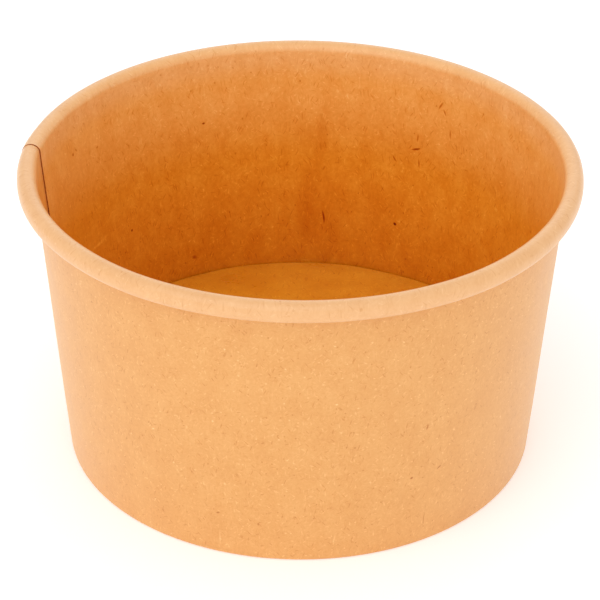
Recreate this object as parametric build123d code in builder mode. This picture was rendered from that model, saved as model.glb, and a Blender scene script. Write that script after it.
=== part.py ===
from build123d import *
import os
from math import asin, atan2, cos, degrees, hypot, radians, sin

# A round paper tub for ice cream, made of two pieces of kraft board.
# The side wall is one fan-shaped blank wrapped into a cone with a lapped seam. Its top edge is
# curled outwards into a bead, and its bottom edge is folded in and up as a hem. The base is a
# disc with a turned-down skirt, which is sealed between the wall and the hem.
# Millimetres, +Z up, origin at the centre of the ring that the tub stands on.

# The tub
rim_diameter = 96.5
tub_height = 54.0
foot_diameter = 82.4
board_thickness = 0.4
seal_gap = 0.05  # left between two boards that are sealed together

# The rim's bead
curl_radius = 1.64
curl_straight = 0.32  # on the bead's outer side, which makes it taller than it is wide
tuck_gap = 0.08  # between the wall and the curl where it turns back up inside the bead
curl_end_turn = 120.0  # degrees of the last turn, hidden inside the bead

# The foot's hem
hem_clearance = 1.5  # from the hem's free edge up to the base's disc
fold_radius = 0.1  # on the inside of the fold
press_depth = 0.06  # how far the wall is pressed in round the hem

# The base
floor_height = 9.5
base_corner_radius = 0.7
skirt_clearance = 0.3  # under the skirt's lower edge

# The side seam. The inner layer's edge shows inside the tub at seam_azimuth. From there the
# board lies double over the lap, back to the outer layer's edge on the outside.
seam_azimuth = 175.0  # degrees from +X
lap_width = 8.0
ramp_width = 8.0  # over which the board climbs out on its way to the lap
lap_bite = 0.05  # how far the two layers press into each other

# Worked-out places in the half section: x is the distance from the axis, y the height
rim_radius = rim_diameter / 2
foot_radius = foot_diameter / 2
curl_centre = Vector(rim_radius - curl_radius, tub_height - curl_radius)
tuck_radius = curl_radius - board_thickness - tuck_gap
curl_end_radius = tuck_radius - board_thickness / 2

# Above the hem the wall runs up tangent to the inside of the curl, on a line that would
# meet the ground just outside the pressed foot.
foot_to_curl = curl_centre - Vector(foot_radius + press_depth, 0)
lean = atan2(foot_to_curl.X, foot_to_curl.Y) - asin(
    (curl_radius - board_thickness) / hypot(foot_to_curl.X, foot_to_curl.Y)
)
lean_degrees = degrees(lean)
up_wall = Vector(sin(lean), cos(lean))
out_wall = Vector(cos(lean), -sin(lean))

# The fold under the foot leaves a pocket for the base's skirt.
pocket_width = board_thickness + 2 * seal_gap
fold_outer_radius = fold_radius + board_thickness
fold_flat = (pocket_width - 2 * fold_radius) / cos(lean)
wall_corner = Vector(
    foot_radius + fold_outer_radius * (sin(lean) - 1) / cos(lean), fold_outer_radius
)
hem_corner = wall_corner - Vector(fold_flat, 0)
hem_height = floor_height - board_thickness - hem_clearance
hem_length = (hem_height - hem_corner.Y) / cos(lean)

# The board is pressed in as high as the floor, and stands free above it.
press_out = Vector(press_depth, 0)
wall_foot = wall_corner + out_wall * fold_radius
wall_top = curl_centre - out_wall * curl_radius - press_out
wall_length = (wall_top - wall_foot).dot(up_wall)
pressed_length = (floor_height - wall_foot.Y) / cos(lean)

lap_rise = board_thickness - lap_bite
lap_angle = degrees(lap_width / rim_radius)
ramp_angle = degrees(ramp_width / rim_radius)


def half_plane(azimuth):
    """The upright plane through the axis, with x pointing out at this azimuth and y up."""
    turn = radians(azimuth)
    return Plane(
        origin=(0, 0, 0),
        x_dir=(cos(turn), sin(turn), 0),
        z_dir=(sin(turn), -cos(turn), 0),
    )


def board_face(depth, rise):
    """One face of the wall's board, from the hem's free edge to the end of the curl.

    depth is measured through the board from its food side, and rise is how far the wall and
    the bead stand out where the board climbs over the lap. Returns the face's two ends.
    """
    fold = fold_radius + depth
    hem_foot = hem_corner - out_wall * fold
    hem = Line(hem_foot + up_wall * hem_length, hem_foot)
    hem_turn = JernArc(hem @ 1, hem % 1, fold, 90 + lean_degrees)
    flat = Line(hem_turn @ 1, hem_turn @ 1 + Vector(fold_flat, 0))
    wall_turn = JernArc(flat @ 1, flat % 1, fold, 90 - lean_degrees)
    pressed_top = wall_turn @ 1 + up_wall * pressed_length + press_out + Vector(rise, 0)
    pressed = Line(wall_turn @ 1, pressed_top)
    free = Line(pressed @ 1, pressed @ 1 + up_wall * (wall_length - pressed_length))
    crest = JernArc(free @ 1, up_wall, curl_radius - depth, lean_degrees - 180)
    side = Line(crest @ 1, crest @ 1 - Vector(0, curl_straight))
    underside = JernArc(side @ 1, side % 1, curl_radius - depth, -90)
    tuck = JernArc(underside @ 1, underside % 1, tuck_radius - depth, -90)
    end = JernArc(tuck @ 1, tuck % 1, curl_end_radius - depth, -curl_end_turn)
    return hem @ 0, end @ 1


def board_section(azimuth, rise):
    """The wall's whole section at this azimuth, hem, fold, wall and bead."""
    with BuildSketch(half_plane(azimuth), mode=Mode.PRIVATE) as section:
        with BuildLine():
            food_hem, food_curl = board_face(0, rise)
            outer_hem, outer_curl = board_face(board_thickness, rise)
            Line(food_hem, outer_hem)
            Line(food_curl, outer_curl)
        make_face()
    return section.sketch


# Side wall: a single layer most of the way round, which ends at the edge inside the tub, the
# ramp that climbs out past that edge, and the outer layer over the lap
with BuildPart() as side_wall:
    ramp_start = seam_azimuth + ramp_angle
    revolve(board_section(ramp_start, 0), Axis.Z, revolution_arc=360 - ramp_angle)
    ramp_steps = 4
    ramp_sections = []
    for step in range(ramp_steps + 1):
        share = step / ramp_steps
        smooth_share = share * share * (3 - 2 * share)
        ramp_sections.append(
            board_section(ramp_start - ramp_angle * share, lap_rise * smooth_share)
        )
    loft(ramp_sections)
    outer_edge = seam_azimuth - lap_angle
    revolve(board_section(outer_edge, lap_rise), Axis.Z, revolution_arc=lap_angle)
side_wall.part.label = "side_wall"

# Base: its skirt hangs just inside the wall, down into the hem's pocket. base_corner is the
# centre of the round where the disc turns down into the skirt.
skirt_top = floor_height - base_corner_radius
skirt_foot = board_thickness + skirt_clearance
skirt_length = (skirt_top - skirt_foot) / cos(lean)
wall_to_corner = out_wall * (seal_gap + base_corner_radius)
corner_rise = (skirt_top - wall_foot.Y + wall_to_corner.Y) / cos(lean)
base_corner = wall_foot + up_wall * corner_rise - wall_to_corner


def base_face(depth):
    """One face of the base's board, from the axis to the skirt's lower edge."""
    corner = base_corner_radius - depth
    floor = Line((0, floor_height - depth), (base_corner.X, floor_height - depth))
    turn = JernArc(floor @ 1, floor % 1, corner, -90 - lean_degrees)
    skirt = Line(turn @ 1, turn @ 1 - up_wall * skirt_length)
    return floor @ 0, skirt @ 1


with BuildPart() as base:
    with BuildSketch(Plane.XZ):
        with BuildLine():
            floor_middle, skirt_end = base_face(0)
            under_middle, under_end = base_face(board_thickness)
            Line(floor_middle, under_middle)
            Line(skirt_end, under_end)
        make_face()
    revolve(axis=Axis.Z)
base.part.label = "base"

os.makedirs("parts", exist_ok=True)
export_step(side_wall.part, "parts/side_wall.step")
export_step(base.part, "parts/base.step")

print(f"wall leans out {lean_degrees:.2f} degrees; foot flat {fold_flat:.3f} wide,"
      f" centred {wall_corner.X - fold_flat / 2:.3f} from the axis")
print(f"side wall {side_wall.part.volume:.0f} mm3, base {base.part.volume:.0f} mm3")
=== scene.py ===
import math

import bmesh
import bpy
import numpy as np
from mathutils import Matrix, Vector


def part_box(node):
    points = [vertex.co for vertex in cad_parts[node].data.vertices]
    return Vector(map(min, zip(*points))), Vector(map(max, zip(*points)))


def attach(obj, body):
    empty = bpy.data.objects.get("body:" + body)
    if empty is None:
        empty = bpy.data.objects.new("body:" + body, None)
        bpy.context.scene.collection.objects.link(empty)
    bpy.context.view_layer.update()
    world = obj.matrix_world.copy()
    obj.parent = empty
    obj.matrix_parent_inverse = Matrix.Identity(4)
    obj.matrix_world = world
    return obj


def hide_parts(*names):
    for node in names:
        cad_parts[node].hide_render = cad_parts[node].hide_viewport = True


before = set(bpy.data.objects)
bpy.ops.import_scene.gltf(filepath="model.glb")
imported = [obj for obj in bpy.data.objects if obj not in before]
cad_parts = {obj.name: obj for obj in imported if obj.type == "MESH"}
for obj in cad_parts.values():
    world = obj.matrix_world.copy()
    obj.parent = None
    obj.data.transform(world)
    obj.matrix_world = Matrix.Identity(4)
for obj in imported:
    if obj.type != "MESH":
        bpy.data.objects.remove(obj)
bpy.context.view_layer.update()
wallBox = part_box("side_wall")
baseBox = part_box("base")
mm = 0.001
rimRadius, rimHeight = wallBox[1].y / mm, wallBox[1].z / mm
discRadius, discHeight = baseBox[1].y / mm, baseBox[1].z / mm
print("frame loaded, nodes", sorted(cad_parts))


def toLinear(hexColour):
    # sRGB to linear: c / 12.92 up to 0.04045, and ((c + 0.055) / 1.055) ** 2.4 above it
    parts = [int(hexColour[i:i + 2], 16) / 255 for i in (1, 3, 5)]
    return [c / 12.92 if c <= 0.04045 else ((c + 0.055) / 1.055) ** 2.4 for c in parts] + [1.0]


def addNode(tree, kind, settings, links=None):
    # settings go to the node's own values or, failing that, to its sockets; links say which
    # output of which node feeds each socket, and None leaves a socket at its own value
    node = tree.nodes.new(kind)
    for name, value in settings.items():
        if isinstance(name, str) and hasattr(node, name):
            setattr(node, name, value)
        else:
            node.inputs[name].default_value = value
    for name, source in (links or {}).items():
        if source:
            tree.links.new(source[0].outputs[source[1]], node.inputs[name])
    return node


def smoothStep(x):
    # 3x^2 - 2x^3 between 0 and 1, and flat outside them
    x = np.clip(x, 0, 1)
    return x * x * (3 - 2 * x)


def ripples(rng, x, y, count, shortest, longest):
    # a sum of sine waves over the flat board, of seeded random direction, phase and wavelength;
    # each wave's height goes with its wavelength, and the sum's spread is about 1
    total = np.zeros(np.broadcast(x, y).shape)
    power = 0
    for _ in range(count):
        wave = shortest * (longest / shortest) ** rng.random()
        heading = rng.random() * math.tau
        phase = rng.random() * math.tau
        height = wave / longest
        along = x * math.cos(heading) + y * math.sin(heading)
        total += height * np.sin(math.tau * along / wave + phase)
        power += height * height / 2
    return total / math.sqrt(power)


# Kraft board: unbleached pulp, with long brown and straw-coloured fibres in a paler felt. Outside
# it is bare and scatters light softly. The food side has a thin polyethylene coat, which fills
# the felt: it looks wetter and deeper in colour there, with a low gloss.

boardLook = {
    "outside": "#E3A35C",
    # a paler tone just under the bead: painted light over the shade there
    "paintedLightLip": "#FABC72",
    "bead": "#EAB37B",
    "foodUpper": "#F8B157",
    # the middle and deep food tones, darker and more saturated, are painted shade low in the tub
    "foodMiddlePaintedShade": "#E99726",
    "foodDeepPaintedShade": "#D6810D",
    # the floor tone, darker than the wall near the rim, is painted shade at the tub's bottom
    "floor": "#E0931C",
    "edge": "#A4571C",
    "fuzz": "#FFE2BE",
    "fuzzRoughness": 0.4,
    "ior": 1.5,
    "deepening": 0.7,       # how far a shade raises the tone's power
    "dimming": 0.3,         # how far it dims the tone as well
    "dimmest": 0.3,         # and no mark dims it further than this
    "roughSpread": 0.06,
    "swirlSize": 2.5,       # mm, over which fibres bend
    "cloudRoughness": 0.62,
    "feltRoughness": 0.7,
}

# A fibre is an oval in its own cell. Its edge and core are distances from the cell's point, and
# its span is what the fibre's length is of the cell's.
fibreOval = {
    "edge": 0.27,
    "core": 0.14,
    "span": 0.42,
    "shift": (7.3, 3.1),    # mm that each layer is moved from the last
    "fullShare": 0.5,       # cells under this part of the share hold a full fibre, the rest a weak one
}
markCore = 0.2              # a mark has its full depth out to this part of its reach


def fibreLayer(tree, place, heading, length, width, share, seed):
    # short fibres: cells stretched along the heading, each with one pointed oval at its middle,
    # kept where the cell's own random number is under share; sizes in mm
    f = fibreOval
    turned = addNode(tree, "ShaderNodeMapping", {
        "vector_type": "TEXTURE", "Location": (seed * f["shift"][0], seed * f["shift"][1], 0),
        "Rotation": (0, 0, math.radians(heading)),
        "Scale": (length / f["span"], width / f["span"], 1)}, {"Vector": place})
    cell = addNode(tree, "ShaderNodeTexVoronoi", {
        "voronoi_dimensions": "2D", "Scale": 1.0, "Randomness": 1.0}, {"Vector": (turned, 0)})
    oval = addNode(tree, "ShaderNodeMapRange", {
        "interpolation_type": "SMOOTHSTEP", "From Min": f["edge"], "From Max": f["core"]},
        {"Value": (cell, "Distance")})
    dice = addNode(tree, "ShaderNodeSeparateColor", {}, {"Color": (cell, "Color")})
    kept = addNode(tree, "ShaderNodeMapRange", {
        "From Min": share, "From Max": share * f["fullShare"]}, {"Value": (dice, 0)})
    return addNode(tree, "ShaderNodeMath", {"operation": "MULTIPLY"}, {0: (oval, 0), 1: (kept, 0)})


def markLayer(tree, place, around, up, halfLength, halfWidth, heading, depth):
    # one soft oval mark on the board, depth at its middle and nothing at its edge
    turned = addNode(tree, "ShaderNodeMapping", {
        "vector_type": "TEXTURE", "Location": (around, up, 0),
        "Rotation": (0, 0, math.radians(heading)), "Scale": (halfLength, halfWidth, 1)}, {"Vector": place})
    reach = addNode(tree, "ShaderNodeVectorMath", {"operation": "LENGTH"}, {0: (turned, 0)})
    return addNode(tree, "ShaderNodeMapRange", {
        "interpolation_type": "SMOOTHSTEP", "From Min": 1.0, "From Max": markCore, "To Max": depth},
        {"Value": (reach, "Value")})


def kraftMaterial(name, look):
    # place on the flat board in mm -> shade, the sum of clouds, felt, fibres and marks -> the tone
    # to the power 1 - deepening * shade, times 1 + dimming * shade, so that a brown fibre is both
    # darker and more saturated, and a straw one paler
    material = bpy.data.materials.new(name)
    material.use_nodes = True
    tree = material.node_tree
    tree.nodes.clear()
    board = addNode(tree, "ShaderNodeUVMap", {"uv_map": "boardMap"})
    flat = addNode(tree, "ShaderNodeVectorMath", {"operation": "SCALE", "Scale": 1 / mm}, {0: (board, 0)})
    across = addNode(tree, "ShaderNodeSeparateXYZ", {}, {"Vector": (flat, 0)})

    # the place, bent by a slow swirl, so that no fibre or mark is dead straight
    swirl = addNode(tree, "ShaderNodeTexNoise", {
        "noise_dimensions": "2D", "Scale": 1 / boardLook["swirlSize"], "Detail": 1.0}, {"Vector": (flat, 0)})
    centred = addNode(tree, "ShaderNodeVectorMath", {
        "operation": "SUBTRACT", 1: (0.5, 0.5, 0.5)}, {0: (swirl, "Color")})
    curl = addNode(tree, "ShaderNodeVectorMath", {
        "operation": "SCALE", "Scale": look["curl"]}, {0: (centred, 0)})
    bent = (addNode(tree, "ShaderNodeVectorMath", {"operation": "ADD"}, {0: (flat, 0), 1: (curl, 0)}), 0)

    # clouds are where the pulp lay thicker; the felt is the mat of fine fibres between the long ones
    drawn = addNode(tree, "ShaderNodeMapping", {
        "Scale": look["cloudsPerMm"] + (1,)}, {"Vector": (flat, 0)})
    clouds = addNode(tree, "ShaderNodeTexNoise", {
        "noise_dimensions": "2D", "Scale": 1.0, "Detail": 5.0,
        "Roughness": boardLook["cloudRoughness"]}, {"Vector": (drawn, 0)})
    felt = addNode(tree, "ShaderNodeTexNoise", {
        "noise_dimensions": "2D", "Scale": 1 / look["feltSize"], "Detail": 2.0,
        "Roughness": boardLook["feltRoughness"]}, {"Vector": bent})
    parts = []
    for noise, depth in ((clouds, look["cloudDepth"]), (felt, look["feltDepth"])):
        parts.append(addNode(tree, "ShaderNodeMath", {
            "operation": "MULTIPLY_ADD", 1: depth, 2: -depth / 2}, {0: (noise, 0)}))
    for seed, (heading, length, width, share, depth) in enumerate(look["fibres"]):
        layer = fibreLayer(tree, bent, heading, length, width, share, seed + 1)
        parts.append(addNode(tree, "ShaderNodeMath", {
            "operation": "MULTIPLY", 1: depth * look["fibreDepth"]}, {0: (layer, 0)}))
    for mark in look["marks"]:
        parts.append(markLayer(tree, bent, *mark))
    shade = parts[0]
    for part in parts[1:]:
        shade = addNode(tree, "ShaderNodeMath", {"operation": "ADD"}, {0: (shade, 0), 1: (part, 0)})
    if "fade" in look:
        low, high, least = look["fade"]
        calm = addNode(tree, "ShaderNodeMapRange", {
            "interpolation_type": "SMOOTHSTEP", "From Min": low, "From Max": high,
            "To Min": 1.0, "To Max": least}, {"Value": (across, "Y")})
        shade = addNode(tree, "ShaderNodeMath", {"operation": "MULTIPLY"}, {0: (shade, 0), 1: (calm, 0)})

    # the tone up the board: each stop's colour takes over from the one below it
    stops = look["tones"]
    tone = None
    for (low, below), (high, above) in zip(stops, stops[1:]):
        share = addNode(tree, "ShaderNodeMapRange", {
            "interpolation_type": "SMOOTHSTEP", "From Min": low, "From Max": high}, {"Value": (across, "Y")})
        tone = (addNode(tree, "ShaderNodeMix", {
            "data_type": "RGBA", 6: below, 7: above}, {0: (share, 0), 6: tone}), 2)
    power = addNode(tree, "ShaderNodeMath", {
        "operation": "MULTIPLY_ADD", 1: -boardLook["deepening"], 2: 1.0}, {0: (shade, 0)})
    strength = addNode(tree, "ShaderNodeMath", {
        "operation": "MULTIPLY_ADD", 1: boardLook["dimming"], 2: 1.0}, {0: (shade, 0)})
    held = addNode(tree, "ShaderNodeMath", {
        "operation": "MAXIMUM", 1: boardLook["dimmest"]}, {0: (strength, 0)})
    deepened = addNode(tree, "ShaderNodeGamma", {"Color": stops[0][1]}, {"Color": tone, "Gamma": (power, 0)})
    shaded = addNode(tree, "ShaderNodeVectorMath", {
        "operation": "SCALE"}, {0: (deepened, 0), "Scale": (held, 0)})

    bump = addNode(tree, "ShaderNodeBump", {
        "Strength": 1.0, "Distance": look["relief"] * mm}, {"Height": (felt, 0)})
    rough = addNode(tree, "ShaderNodeMapRange", {
        "To Min": look["roughness"] - boardLook["roughSpread"],
        "To Max": look["roughness"] + boardLook["roughSpread"]}, {"Value": (clouds, 0)})
    shader = addNode(tree, "ShaderNodeBsdfPrincipled", {
        "IOR": boardLook["ior"], "Metallic": 0.0, "Sheen Weight": look["fuzz"],
        "Sheen Roughness": boardLook["fuzzRoughness"], "Sheen Tint": toLinear(boardLook["fuzz"])},
        {"Base Color": (shaded, 0), "Roughness": (rough, 0), "Normal": (bump, 0)})
    addNode(tree, "ShaderNodeOutputMaterial", {}, {"Surface": (shader, 0)})
    return material


def sheetPath(start, heading, runs):
    # a path of straight runs and arcs: each chord is 2 R sin(turn / 2n) long, or length / n on a
    # straight, and points along the mean of its two headings; places are the chords' running sum
    chords, means, headings = [], [], [np.array([heading])]
    for radius, size, steps in runs:
        turn = math.radians(size) if radius else 0
        chord = 2 * radius * math.sin(abs(turn) / 2 / steps) if radius else size / steps
        share = np.arange(steps)
        chords.append(np.full(steps, chord))
        means.append(heading + turn * (share + 0.5) / steps)
        headings.append(heading + turn * (share + 1) / steps)
        heading += turn
    chords, means, headings = map(np.concatenate, (chords, means, headings))
    moves = np.stack([chords * np.cos(means), chords * np.sin(means)], 1)
    places = np.array(start) + np.vstack([np.zeros((1, 2)), np.cumsum(moves, 0)])
    along = np.concatenate([[0], np.cumsum(chords)])
    left = np.stack([-np.sin(headings), np.cos(headings)], 1)
    return places, left, along


mergeReach = 1e-8           # metres
sharpAngle = 40.0


def gridMesh(name, points, faces, slots, uv, materials):
    # points by vertex, faces as quads, and per face its material and its corners' places on the
    # flat board, all in mm; corners that fall together at a pole are merged
    mesh = bpy.data.meshes.new(name)
    mesh.from_pydata(points * mm, [], faces)
    mesh.polygons.foreach_set("material_index", slots.astype(np.int32))
    layer = mesh.uv_layers.new(name="boardMap")
    layer.uv.foreach_set("vector", (uv * mm).astype(np.float32).ravel())
    for material in materials:
        mesh.materials.append(material)
    work = bmesh.new()
    work.from_mesh(mesh)
    bmesh.ops.remove_doubles(work, verts=work.verts, dist=mergeReach)
    work.to_mesh(mesh)
    work.free()
    mesh.shade_smooth()
    mesh.set_sharp_from_angle(angle=math.radians(sharpAngle))
    piece = bpy.data.objects.new(name, mesh)
    bpy.context.scene.collection.objects.link(piece)
    return piece


# Where each face lies on the flat board, in mm, so that no two share their fibres
boardMap = {
    "meanRadius": 44.6,     # of the wall, by which a turn becomes a length
    "outerSide": 100.0,
    "cutEnds": 200.0,
    "discMiddle": 50.0,
}

# mm and degrees; a row of waves is how many there are, and the shortest and longest
sideWall = {
    "thickness": 0.4,
    "footRadius": 41.2,
    "curlRadius": 1.64,
    "curlStraight": 0.32,
    "tuckRadius": 1.16,
    "curlEnd": 120.0,
    "foldRadius": 0.1,
    "pocket": 0.5,
    "press": 0.06,
    "hemTop": 7.6,
    "seam": 175.0,
    "lapWidth": 8.0,
    "lapColumns": 20,
    "rampWidth": 8.0,
    "rampColumns": 16,
    "singleColumns": 296,
    "lapRise": 0.35,
    "beadReach": 1.0,
    "beadSqueeze": 0.45,
    "beadSwell": 0.2,
    "swellTurn": 6.0,
    "skive": 0.35,
    "skiveTurn": 2.0,
    "cockle": 0.05,
    "cockleWaves": (14, 9, 40),
    "cockleDraw": 0.35,     # a height counts as this much of a length round the wall
    "stillFoot": 8.0,       # the base holds the board flat up to here
    "rimWave": 0.06,
    "rimWaves": (10, 16, 80),
    "rimDip": 0.5,
    "rimInset": 0.09,
    "skewAtRim": -1.0,
    "skewPerMm": 0.03,
}


def wallPath():
    # hem down, fold, wall up, and the curl out, down and back in, as the board's middle line. The
    # wall leans by the angle from its foot to the curl's middle, less the angle that the curl's
    # inner radius takes up there. The share goes from 0 at the foot to 1 at the floor's height
    w = sideWall
    half = w["thickness"] / 2
    curlX, curlZ = rimRadius - w["curlRadius"], rimHeight - w["curlRadius"]
    reachX = curlX - w["footRadius"] - w["press"]
    lean = math.atan2(reachX, curlZ)
    lean -= math.asin((w["curlRadius"] - w["thickness"]) / math.hypot(reachX, curlZ))
    leanTurn = math.degrees(lean)
    up = np.array([math.sin(lean), math.cos(lean)])
    out = np.array([math.cos(lean), -math.sin(lean)])
    foldOuter = w["foldRadius"] + w["thickness"]
    foldFlat = (w["pocket"] - 2 * w["foldRadius"]) / math.cos(lean)
    cornerX = w["footRadius"] + foldOuter * (math.sin(lean) - 1) / math.cos(lean)
    wallCorner = np.array([cornerX, foldOuter])
    hemCorner = wallCorner - [foldFlat, 0]
    hemLength = (w["hemTop"] - hemCorner[1]) / math.cos(lean)
    wallFoot = wallCorner + out * w["foldRadius"]
    wallTop = np.array([curlX, curlZ]) - out * w["curlRadius"] - [w["press"], 0]
    wallLength = float((wallTop - wallFoot) @ up)
    fold = w["foldRadius"] + half
    curl = w["curlRadius"] - half
    tuck = w["tuckRadius"] - half
    start = hemCorner - out * fold + up * hemLength
    # radius, turn or, with no radius, length, and steps
    runs = [
        (0, hemLength, 4),
        (fold, 90 + leanTurn, 6), (0, foldFlat, 1), (fold, 90 - leanTurn, 6),
        (0, wallLength, 52),
        (curl, leanTurn - 180, 17), (0, w["curlStraight"], 2), (curl, -90, 9),
        (tuck, -90, 8), (tuck - half, -w["curlEnd"], 8),
    ]
    rows = np.cumsum([steps for _, _, steps in runs])
    wallRow, rimRow = rows[3], rows[4]
    places, left, along = sheetPath(start, -math.pi / 2 - lean, runs)
    pressed = (discHeight - wallFoot[1]) / math.cos(lean)
    share = np.clip((along - along[wallRow]) / pressed, 0, 1)
    return places, left, along, share, wallRow, rimRow


wallPlaces, wallLeft, wallAlong, pressShare, wallRow, rimRow = wallPath()
footAlong, rimAlong = wallAlong[wallRow], wallAlong[rimRow]
lapTurn = math.degrees(sideWall["lapWidth"] / rimRadius)
rampTurn = math.degrees(sideWall["rampWidth"] / rimRadius)
firstTurn = sideWall["seam"] - lapTurn


def skewTurn(height):
    # degrees that the board is turned at a height: the skew at the rim, and less by the skew per
    # mm for each mm below it
    return sideWall["skewAtRim"] + sideWall["skewPerMm"] * (height - rimHeight)


def boardMarks(rows, offset):
    # azimuth and height on the tub -> place on the flat board: around = turn * mean radius, and
    # up = the path's length to that height; the rest of the row stays as it is
    foot, rim = wallPlaces[wallRow], wallPlaces[rimRow]
    marks = []
    for azimuth, height, *shape in rows:
        turn = azimuth - firstTurn if azimuth > sideWall["seam"] else azimuth + 360 - firstTurn
        turn -= skewTurn(height)
        share = (height - foot[1]) / (rim[1] - foot[1])
        up = footAlong + share * (rimAlong - footAlong) + offset
        marks.append((math.radians(turn) * boardMap["meanRadius"], up, *shape))
    return marks


# Bark specks, dark and pale fibres, a scuff, and soft darker bands, painted shade where the wall
# ripples: azimuth in degrees, height, half length and half width in mm, heading in degrees, and depth
foodMarks = [
    (64.8, 19.6, 0.5, 0.4, 60, -2.6), (114.7, 40.0, 0.35, 0.3, 0, -2.0),
    (137.5, 23.3, 0.35, 0.3, 0, -1.6), (54.6, 45.9, 1.3, 0.26, 120, -1.0),
    (53.3, 44.8, 0.9, 0.24, 60, -0.9), (60.5, 36.0, 1.3, 0.28, 157, -1.6),
    (51.3, 40.9, 1.3, 0.22, 85, -0.8), (66.1, 33.0, 1.0, 0.22, 50, -0.8),
    (60.3, 38.3, 1.1, 0.22, 90, -0.8), (59.4, 33.3, 1.2, 0.22, 80, -0.8),
    (84.1, 19.0, 1.8, 0.26, 88, -1.3), (119.1, 13.0, 0.7, 0.5, 20, -0.7),
    (156.4, 45.0, 0.5, 0.34, 60, -1.1), (154.8, 45.4, 0.7, 0.28, 40, -0.7),
    (146.6, 43.2, 0.5, 0.34, 0, -0.7), (149.5, 24.7, 3.8, 0.5, 170, 0.3),
    # the last five, long and faint, are the bands of painted shade where the wall ripples
    (85.0, 35.0, 12.0, 1.7, 97, -0.16), (88.5, 22.0, 12.0, 2.8, 96, -0.18),
    (84.0, 20.0, 14.0, 7.0, 90, -0.12), (112.0, 19.0, 9.0, 6.0, 90, -0.08),
    (70.0, 22.0, 9.0, 6.0, 90, -0.1),
]
bareMarks = [
    (251.3, 8.8, 0.45, 0.24, 30, -0.7), (260.8, 7.6, 0.45, 0.24, 100, -0.6),
    (299.0, 24.9, 0.8, 0.24, 80, -0.6), (303.3, 15.3, 0.7, 0.26, 45, -0.8),
    (296.1, 14.9, 0.35, 0.3, 0, -1.0), (277.9, 32.8, 0.3, 0.25, 0, 0.5),
    # the three long thin streaks near the foot, two light and one dark, are painted highlight and shade of
    # small pleats at the hem
    (251.6, 3.4, 2.3, 0.2, 90, 0.25), (278.2, 4.2, 1.5, 0.2, 90, 0.25),
    (300.3, 5.0, 1.8, 0.2, 88, -0.4),
]
# Heading in degrees from round the tub, length and width in mm, share of the cells that hold a
# fibre, and depth, under 0 for brown ones. Real fibres are about 0.03 mm wide, too fine to show,
# so they are drawn 0.14 to 0.28 mm wide. Many weak ones lie under a few strong ones and specks.
bareFibres = [
    (84, 1.3, 0.15, 0.3, -0.6), (120, 1.0, 0.14, 0.3, -0.6), (35, 0.9, 0.14, 0.3, -0.6),
    (165, 0.9, 0.14, 0.25, -0.6), (95, 1.2, 0.15, 0.3, 0.6), (58, 1.0, 0.14, 0.3, 0.6),
    (145, 0.9, 0.14, 0.3, 0.6), (8, 0.9, 0.14, 0.25, 0.6), (75, 1.0, 0.17, 0.06, -1.9),
    (130, 0.9, 0.17, 0.06, -1.8), (20, 0.8, 0.17, 0.05, -1.6), (100, 0.8, 0.18, 0.08, 1.5),
    (45, 0.7, 0.18, 0.08, 1.5), (155, 0.6, 0.18, 0.07, 1.5), (80, 0.32, 0.26, 0.04, -2.2),
    (0, 0.32, 0.26, 0.04, 2.2),
]
coatedFibres = [
    (88, 1.9, 0.16, 0.26, -0.7), (70, 1.3, 0.15, 0.26, -0.6), (112, 1.4, 0.15, 0.26, -0.7),
    (30, 1.1, 0.15, 0.2, -0.6), (160, 1.0, 0.15, 0.18, -0.6), (97, 1.4, 0.17, 0.3, 0.6),
    (63, 1.1, 0.16, 0.3, 0.6), (138, 1.1, 0.16, 0.25, 0.6), (80, 1.4, 0.19, 0.1, -2.1),
    (118, 1.2, 0.19, 0.1, -2.1), (50, 1.1, 0.18, 0.08, -1.9), (10, 1.0, 0.18, 0.06, -1.5),
    (102, 1.1, 0.19, 0.09, 1.4), (55, 0.9, 0.18, 0.09, 1.4), (150, 0.8, 0.18, 0.07, 1.4),
    (20, 0.7, 0.18, 0.06, 1.3), (80, 0.4, 0.28, 0.02, -3.0), (0, 0.32, 0.26, 0.05, 1.6),
]

# Bare board: its fibre ends stand proud, so light spreads on it and the outline looks soft and
# pale. Clouds are 5 to 6 mm across, the felt half a millimetre.
outsideKraft = kraftMaterial("uncoatedKraftBoard", {
    "tones": [(0, toLinear(boardLook["outside"]))], "marks": boardMarks(bareMarks, boardMap["outerSide"]),
    "fibres": bareFibres, "fibreDepth": 0.14, "curl": 0.45, "cloudsPerMm": (0.2, 0.17), "cloudDepth": 0.25,
    "feltSize": 0.5, "feltDepth": 0.25, "relief": 0.005, "roughness": 0.4, "fuzz": 0.35})

# Coated board: the film wets the pulp, which looks deep and orange, and has a low gloss. The tones
# grow darker and more saturated down the wall: painted shade of the tub's hollow. Place along the
# path in mm, and the tone there.
foodLook = {
    "tones": [
        (footAlong + 4, toLinear(boardLook["foodDeepPaintedShade"])), (footAlong + 30, toLinear(boardLook["foodMiddlePaintedShade"])),
        # the lip tone just under the bead is painted light
        (rimAlong - 6, toLinear(boardLook["foodUpper"])), (rimAlong - 0.5, toLinear(boardLook["paintedLightLip"])),
        (rimAlong + 2.5, toLinear(boardLook["bead"]))],
    "marks": boardMarks(foodMarks, 0), "fibres": coatedFibres, "fibreDepth": 0.15, "curl": 0.55,
    "fade": (rimAlong - 1.5, rimAlong + 2, 0.5),    # patterns halve where the curl stretches them
    "cloudsPerMm": (0.26, 0.17), "cloudDepth": 0.5, "feltSize": 0.75, "feltDepth": 0.38,
    "relief": 0.003, "roughness": 0.32, "fuzz": 0.0}
foodKraft = kraftMaterial("coatedKraftBoard", foodLook)

# The same film stretched over the curl: smoother, with a trace of fuzz in glancing light, and paler
# than the wall below, whose darker tones are painted shade
rimKraft = kraftMaterial("coatedKraftRim", dict(
    foodLook, marks=[], feltSize=0.55, feltDepth=0.32, roughness=0.31, fuzz=0.3))

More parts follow.
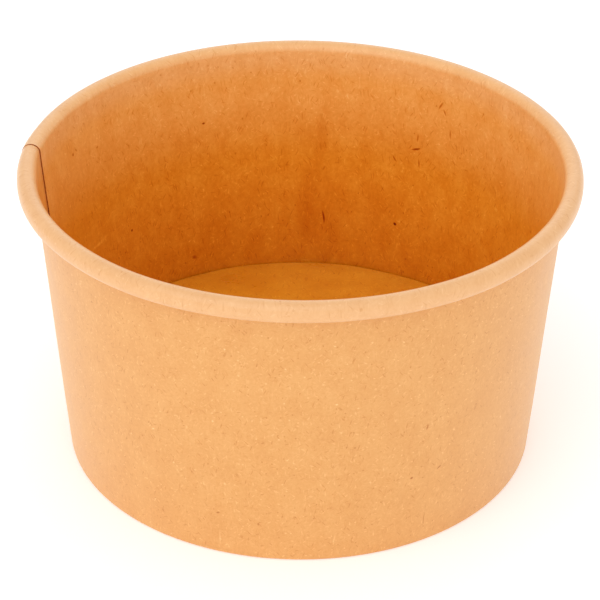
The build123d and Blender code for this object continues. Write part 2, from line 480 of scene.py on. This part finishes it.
# The same coated board lying flat: its clouds are longer across the disc, 11 mm by 6 mm. Its
# tone, darker than the wall near the rim, is painted shade at the tub's bottom
floorKraft = kraftMaterial("coatedKraftFloor", {
    "tones": [(0, toLinear(boardLook["floor"]))], "marks": [], "fibres": coatedFibres, "fibreDepth": 0.12,
    "curl": 0.55, "cloudsPerMm": (0.09, 0.16), "cloudDepth": 0.5, "feltSize": 0.5, "feltDepth": 0.25,
    "relief": 0.003, "roughness": 0.3, "fuzz": 0.0})

# The cut edge: open fibre ends, which look dark, dull and coarse
edgeKraft = kraftMaterial("rawKraftEdge", {
    "tones": [(0, toLinear(boardLook["edge"]))], "marks": [], "fibres": coatedFibres, "fibreDepth": 0.2,
    "curl": 0.55, "cloudsPerMm": (0.5, 0.5), "cloudDepth": 0.6, "feltSize": 0.2, "feltDepth": 0.8,
    "relief": 0.02, "roughness": 0.85, "fuzz": 0.0})

# which of a piece's materials a face has
foodSlot, outsideSlot, edgeSlot, rimSlot = 0, 1, 2, 3
print("materials made")


def buildSideWall():
    # r = path + press * share + cockle + wave - inset + swell, and both r and z less the normal
    # times the lap's rise, which goes to nothing along the ramp; then half a thickness to each
    # side. The section is turned round the axis from the outer layer's edge, once round, and on
    # under the lap to the inner layer's edge, and skewed by the height, since the blank was
    # joined a little out of square
    w = sideWall
    rng = np.random.default_rng(41)
    left, along = wallLeft, wallAlong
    seam, last = w["seam"], w["seam"] + 360
    stops = [(firstTurn, seam, w["lapColumns"]), (seam, seam + rampTurn, w["rampColumns"]),
             (seam + rampTurn, last - lapTurn, w["singleColumns"]), (last - lapTurn, last, w["lapColumns"])]
    turns = np.concatenate([np.linspace(a, b, n, endpoint=False) for a, b, n in stops] + [[last]])
    around = np.radians(turns - firstTurn) * boardMap["meanRadius"]
    t, s = around[:, None], along[None, :]

    bead = smoothStep((s - rimAlong + w["beadReach"]) / (2 * w["beadReach"]))
    upWall = (s - footAlong - w["stillFoot"]) / (rimAlong - footAlong - w["stillFoot"])
    free = np.sin(np.clip(upWall, 0, 1) * math.pi)
    cockle = w["cockle"] * free * ripples(rng, t, s * w["cockleDraw"], *w["cockleWaves"])
    wave = w["rimWave"] * ripples(rng, t, 0 * s, *w["rimWaves"]) * bead
    fromSeam = (turns[:, None] - seam + 180) % 360 - 180
    swell = w["beadSwell"] * np.exp(-(fromSeam / w["swellTurn"]) ** 2) * bead
    rise = w["lapRise"] * (1 - smoothStep((turns[:, None] - seam) / rampTurn))
    sink = rise * pressShare[None, :] * (1 - (1 - w["beadSqueeze"]) * bead)
    radius = wallPlaces[None, :, 0] + w["press"] * pressShare[None, :] + cockle + wave
    radius = radius - w["rimInset"] * bead + swell - left[:, 0] * sink
    height = wallPlaces[None, :, 1] - abs(wave) * w["rimDip"] - left[:, 1] * sink

    # the inner layer's edge is thinned from the food side, but not on the bead
    half = w["thickness"] / 2
    skive = w["skive"] * smoothStep((turns[:, None] - last) / w["skiveTurn"] + 1) * (1 - bead)
    foodHalf = half * (1 - 2 * skive)
    food = np.stack([radius + left[:, 0] * foodHalf, height + left[:, 1] * foodHalf], -1)
    outer = np.stack([radius - left[:, 0] * half, height - left[:, 1] * half], -1)
    loop = np.concatenate([food, outer[:, ::-1]], 1)
    angle = np.radians(turns[:, None] + skewTurn(loop[..., 1]))
    points = np.stack([loop[..., 0] * np.cos(angle), loop[..., 0] * np.sin(angle), loop[..., 1]], -1)

    columns, rows = loop.shape[:2]
    side = rows // 2
    index = np.arange(columns * rows).reshape(columns, rows)
    a, b = index[:-1], index[1:]
    shell = np.stack([a, b, np.roll(b, -1, 1), np.roll(a, -1, 1)], -1)
    outerAlong = along[::-1] + boardMap["outerSide"]
    v = np.concatenate([along, outerAlong])
    vNext = np.concatenate([along[1:], [along[-1] + w["thickness"]],
                            outerAlong[1:], [outerAlong[-1] - w["thickness"]]])
    u0, u1 = around[:-1, None] + 0 * v, around[1:, None] + 0 * v
    v0, v1 = v + 0 * u0, vNext + 0 * u0
    shellUv = np.stack([np.stack(corner, -1) for corner in ((u0, v0), (u1, v0), (u1, v1), (u0, v1))], -2)
    row = np.arange(rows)
    slot = np.where((row >= side) & (row < rows - 1), outsideSlot, edgeSlot)
    slot[:side - 1] = foodSlot
    slot[rimRow + 1:side - 1] = rimSlot
    shellSlot = np.broadcast_to(slot, (columns - 1, rows))

    # the two cut ends of the blank
    inner, outerSide = index[:, :side], index[:, ::-1][:, :side]
    near = np.full(side - 1, boardMap["cutEnds"])
    far = near + w["thickness"]
    spots = ((along[:-1], near), (along[1:], near), (along[1:], far), (along[:-1], far))
    endUv = np.stack([np.stack(corner, -1) for corner in spots], 1)
    caps, capUv = [], []
    for column, flip in ((0, 1), (-1, -1)):
        p, q = inner[column], outerSide[column]
        caps.append(np.stack([p[:-1], p[1:], q[1:], q[:-1]], -1)[:, ::flip])
        capUv.append(endUv[:, ::flip])
    faces = np.concatenate([shell.reshape(-1, 4)] + caps)
    uv = np.concatenate([shellUv.reshape(-1, 4, 2)] + capUv)
    slots = np.concatenate([shellSlot.ravel(), np.full(len(faces) - shellSlot.size, edgeSlot)])
    return gridMesh("kraft_side_wall", points.reshape(-1, 3), faces.tolist(), slots, uv,
                    [foodKraft, outsideKraft, edgeKraft, rimKraft])


base = {
    "thickness": 0.4,
    "cornerRadius": 0.45,
    "skirtGap": 0.3,
    "columns": 240,
    "cockle": 0.07,
    "cockleWaves": (10, 12, 45),
    "cockleCrest": 1.1,     # waves above this are cut off, where the disc lies flat
    "cockleFade": 3.0,      # mm over which they end past the disc's edge
    "edgeWave": 0.1,
    "edgeWaves": (8, 12, 60),
    "edgePast": 0.3,        # mm round the corner where the edge's wave is greatest
    "edgeWidth": 1.2,
}


def buildBase():
    # the disc from its middle out, a round corner, and the skirt down and a little in, turned
    # round the axis: r = path - edge wave near the corner, and z = path - sag on the disc, where
    # the sag is the ripples' depth below their crest; then half a thickness to each side
    b = base
    rng = np.random.default_rng(7)
    step = wallPlaces[rimRow] - wallPlaces[wallRow]
    lean = math.atan2(step[0], step[1])
    half = b["thickness"] / 2
    skirtTop = discHeight - b["cornerRadius"]
    skirtLength = (skirtTop - b["thickness"] - b["skirtGap"]) / math.cos(lean)
    cornerX = discRadius - b["cornerRadius"]
    # radius, turn or, with no radius, length, and steps
    runs = [(0, cornerX, 34), (b["cornerRadius"] - half, -90 - math.degrees(lean), 7), (0, skirtLength, 4)]
    middle, normal, out = sheetPath((0, discHeight - half), 0, runs)
    loop = np.concatenate([middle + normal * half, (middle - normal * half)[::-1]])
    reach = np.concatenate([out, out[::-1]])
    columns, rows, count = b["columns"], len(loop), len(out)
    turn = np.linspace(0, math.tau, columns, endpoint=False)[:, None]

    rimX, rimY = discRadius * np.cos(turn), discRadius * np.sin(turn)
    wave = b["edgeWave"] * np.clip(1 + ripples(rng, rimX, rimY, *b["edgeWaves"]), 0, 2)
    radius = loop[:, 0] - wave * np.exp(-((reach - cornerX - b["edgePast"]) / b["edgeWidth"]) ** 2)
    x, y = radius * np.cos(turn), radius * np.sin(turn)
    onDisc = 1 - smoothStep((reach - cornerX) / b["cockleFade"])
    depth = np.minimum(ripples(rng, x, y, *b["cockleWaves"]) - b["cockleCrest"], 0)
    points = np.stack([x, y, loop[:, 1] + b["cockle"] * depth * onDisc], -1)

    index = np.arange(columns * rows).reshape(columns, rows)
    nextIndex = np.roll(index, -1, 0)
    faces = np.stack([index[:, :-1], index[:, 1:], nextIndex[:, 1:], nextIndex[:, :-1]], -1)
    outerSide = np.where(np.arange(rows) < count, 0.0, boardMap["outerSide"])
    u = boardMap["discMiddle"] + reach * np.cos(turn)
    v = boardMap["discMiddle"] + reach * np.sin(turn) + outerSide
    spots = np.stack([u, v], -1)
    nextSpots = np.roll(spots, -1, 0)
    uv = np.stack([spots[:, :-1], spots[:, 1:], nextSpots[:, 1:], nextSpots[:, :-1]], -2)
    row = np.arange(rows - 1)
    slot = np.where(row < count - 1, foodSlot, np.where(row >= count, outsideSlot, edgeSlot))
    slots = np.broadcast_to(slot, (columns, rows - 1))
    return gridMesh("kraft_base", points.reshape(-1, 3), faces.reshape(-1, 4).tolist(), slots.ravel(),
                    uv.reshape(-1, 4, 2), [floorKraft, outsideKraft, edgeKraft])


wallPiece = buildSideWall()
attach(wallPiece, "root")
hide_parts("side_wall")
print("side wall made,", len(wallPiece.data.polygons), "faces")

basePiece = buildBase()
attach(basePiece, "root")
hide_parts("base")
print("base made,", len(basePiece.data.polygons), "faces")


# a lamp is its name, power in watts, size and place in metres
studio = {
    "floorColour": "#FCFCFC",
    "floorSize": 3.0,
    "floorRoughness": 0.9,
    "floorGlow": 0.2,
    "sky": 0.83,
    "lamps": [("keyLight", 10.8, 2.2, (-0.5, -1.1, 1.35)), ("backLight", 3.2, 1.7, (0.1, 1.7, 1.05))],
}


def addFloor():
    # one square of a matt pale sheet, which glows faintly so that it stays white round the tub
    mesh = bpy.data.meshes.new("floor")
    s = studio["floorSize"] / 2
    mesh.from_pydata([(-s, -s, 0), (s, -s, 0), (s, s, 0), (-s, s, 0)], [], [(0, 1, 2, 3)])
    floor = bpy.data.objects.new("floor", mesh)
    bpy.context.scene.collection.objects.link(floor)
    material = bpy.data.materials.new("paleFloor")
    material.use_nodes = True
    shader = material.node_tree.nodes["Principled BSDF"]
    shader.inputs["Base Color"].default_value = toLinear(studio["floorColour"])
    shader.inputs["Roughness"].default_value = studio["floorRoughness"]
    shader.inputs["Specular IOR Level"].default_value = 0.0
    shader.inputs["Emission Color"].default_value = (1, 1, 1, 1)
    shader.inputs["Emission Strength"].default_value = studio["floorGlow"]
    mesh.materials.append(material)


def addStudio():
    # an even white sky and round soft lamps, each turned to face the tub's foot
    world = bpy.data.worlds.new("softStudio")
    world.use_nodes = True
    sky = world.node_tree.nodes["Background"]
    sky.inputs["Color"].default_value = (1, 1, 1, 1)
    sky.inputs["Strength"].default_value = studio["sky"]
    bpy.context.scene.world = world
    for name, power, size, place in studio["lamps"]:
        lamp = bpy.data.lights.new(name, "AREA")
        lamp.shape = "DISK"
        lamp.size = size
        lamp.energy = power
        light = bpy.data.objects.new(name, lamp)
        light.location = place
        light.rotation_euler = (-light.location).to_track_quat("-Z", "Y").to_euler()
        bpy.context.scene.collection.objects.link(light)
    bpy.context.scene.view_settings.view_transform = "Standard"


# degrees and mm, but the far clip in metres
cameraSet = {
    "pitch": 31.3,
    "distance": 434.25,
    "lens": 148.14,
    "sensor": 36,
    "lower": 0.93,
    "roll": 0.40,
    "farClip": 20,
}


def addCamera():
    # at the tub's middle and the distance back from it at the pitch, looking at a point a little
    # lower in the view, and rolled about the line of sight
    c = cameraSet
    pitch = math.radians(c["pitch"])
    middle = Vector((0, 0, wallBox[1].z / 2))
    back = Vector((0, -math.cos(pitch), math.sin(pitch)))
    upward = Vector((0, math.sin(pitch), math.cos(pitch)))
    data = bpy.data.cameras.new("camera")
    data.lens = c["lens"]
    data.sensor_width = c["sensor"]
    data.clip_end = c["farClip"]
    camera = bpy.data.objects.new("camera", data)
    camera.location = middle + back * c["distance"] * mm
    aim = middle - upward * c["lower"] * mm - camera.location
    turned = aim.to_track_quat("-Z", "Y").to_matrix().to_4x4()
    spin = turned @ Matrix.Rotation(math.radians(c["roll"]), 4, "Z")
    camera.rotation_euler = spin.to_euler()
    bpy.context.scene.collection.objects.link(camera)
    bpy.context.scene.camera = camera


addFloor()
addStudio()
addCamera()
print("floor, light and camera made")
